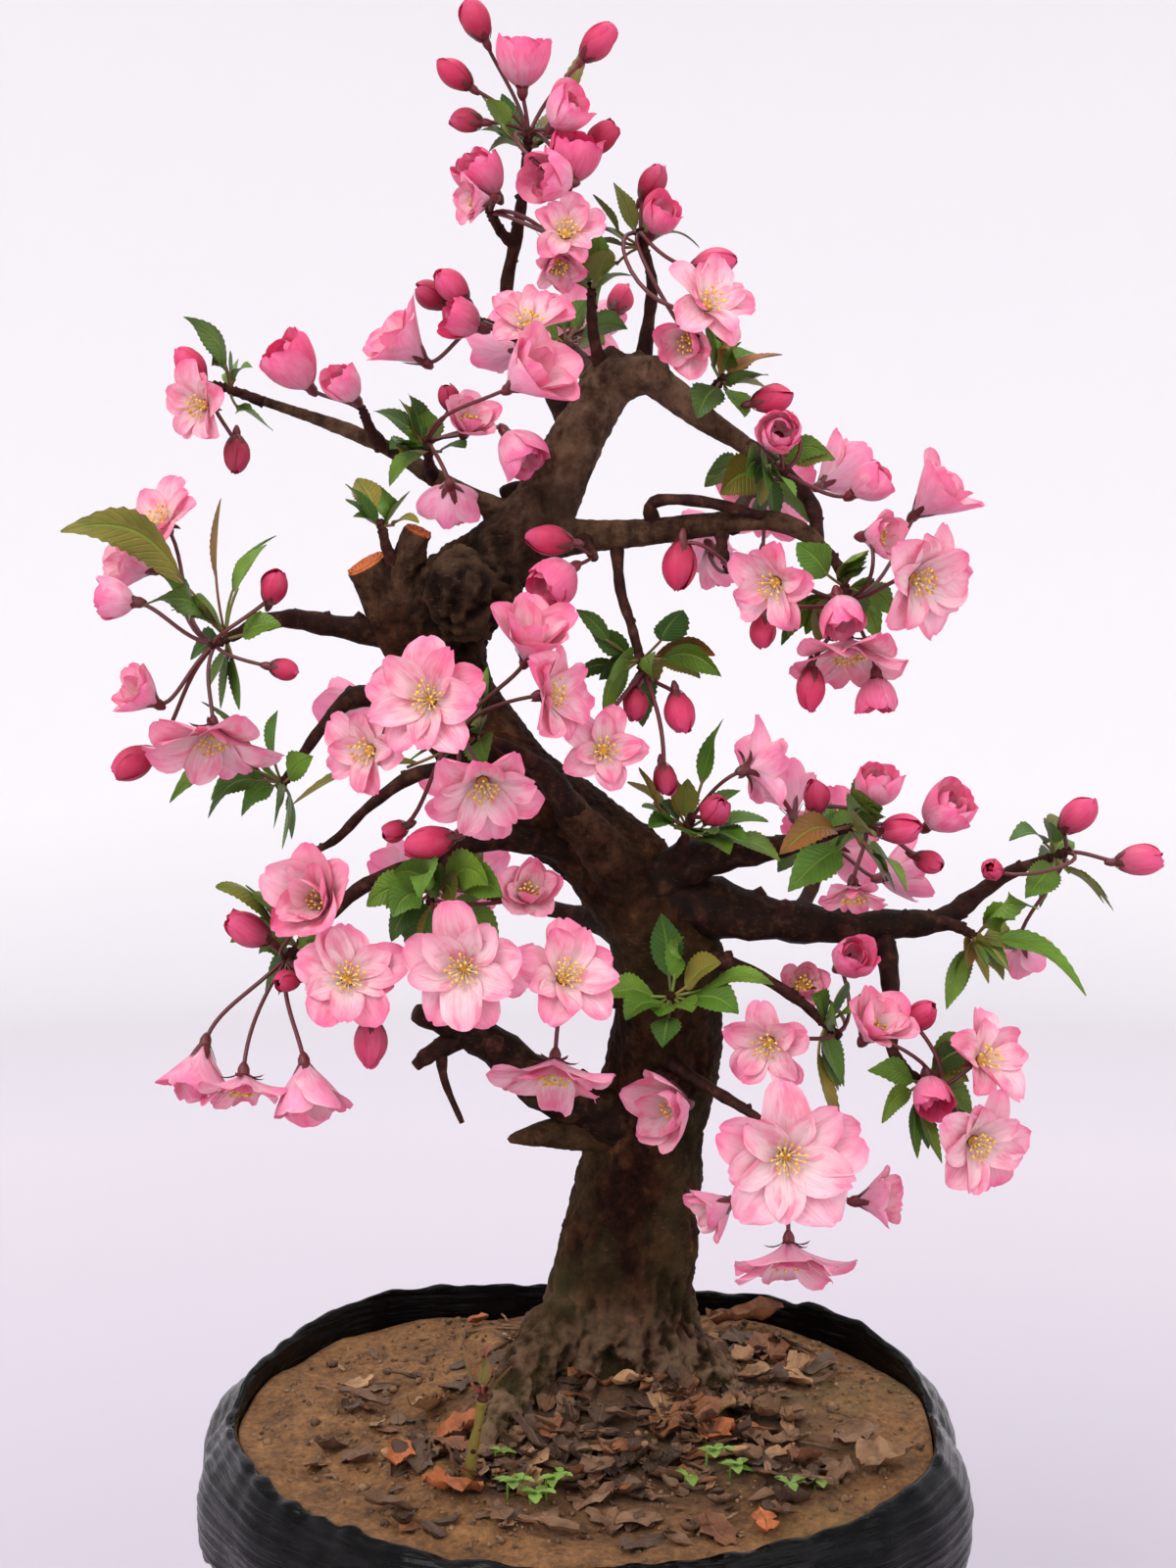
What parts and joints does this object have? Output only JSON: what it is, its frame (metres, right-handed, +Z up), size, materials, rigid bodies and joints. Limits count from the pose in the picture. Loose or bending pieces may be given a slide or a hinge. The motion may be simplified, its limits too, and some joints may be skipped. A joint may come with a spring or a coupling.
{
  "type": "crabapple bonsai",
  "caption": "Crabapple bonsai in full flower with a curved trunk, semi-double pink blossom, buds and leaves, rooted in soil in a black film grow bag.",
  "frame": {"origin": "middle of the bag's flat base, on the surface that it stands on", "axes": "+Z up the tree, -Y toward the front of the tree, +X to the right as seen from the front"},
  "size_m": [0.3075, 0.1915, 0.5502],
  "materials": {
    "bark": "rough dark bark",
    "petal": "soft matt petals",
    "green": "satin leaves",
    "film": "creased glossy film",
    "soil": "crumbly matt soil"
  },
  "bodies": {
    "root": {"flowers_apex": "petal", "flowers_back_crown": "petal", "flowers_back_high": "petal", "flowers_back_left": "petal", "flowers_back_low": "petal", "flowers_back_right": "petal", "flowers_centre": "petal", "flowers_centre_right": "petal", "flowers_crown_left": "petal", "flowers_crown_right": "petal", "flowers_left_high_mid": "petal", "flowers_left_high_spur": "petal", "flowers_left_high_tip": "petal", "flowers_left_low": "petal", "flowers_left_mid": "petal", "flowers_low_left_front": "petal", "flowers_low_right": "petal", "flowers_pendant": "petal", "flowers_right_hang": "petal", "flowers_right_high_inner": "petal", "flowers_right_high_tip": "petal", "flowers_right_high_under": "petal", "flowers_right_inner": "petal", "flowers_right_mid": "petal", "flowers_right_tip": "petal", "flowers_trunk_bud": "petal", "flowers_trunk_front": "petal", "flowers_trunk_spur": "petal", "flowers_twig_left": "petal", "grow_bag": "film", "leaves_apex": "green", "leaves_back_crown": "green", "leaves_back_high": "green", "leaves_back_left": "green", "leaves_back_low": "green", "leaves_back_right": "green", "leaves_centre": "green", "leaves_centre_right": "green", "leaves_crown_mid": "green", "leaves_crown_right": "green", "leaves_crown_side": "green", "leaves_left_high_mid": "green", "leaves_left_high_tip": "green", "leaves_left_low": "green", "leaves_left_low_twig": "green", "leaves_left_mid": "green", "leaves_low_left_front": "green", "leaves_pendant": "green", "leaves_right_hang": "green", "leaves_right_high_inner": "green", "leaves_right_high_tip": "green", "leaves_right_inner": "green", "leaves_right_mid": "green", "leaves_right_outer": "green", "leaves_right_tip": "green", "leaves_stub_leaves": "green", "leaves_sucker": "green", "leaves_trunk_leaves": "green", "soil": "soil", "trunk": "bark"}
  },
  "joints": []
}
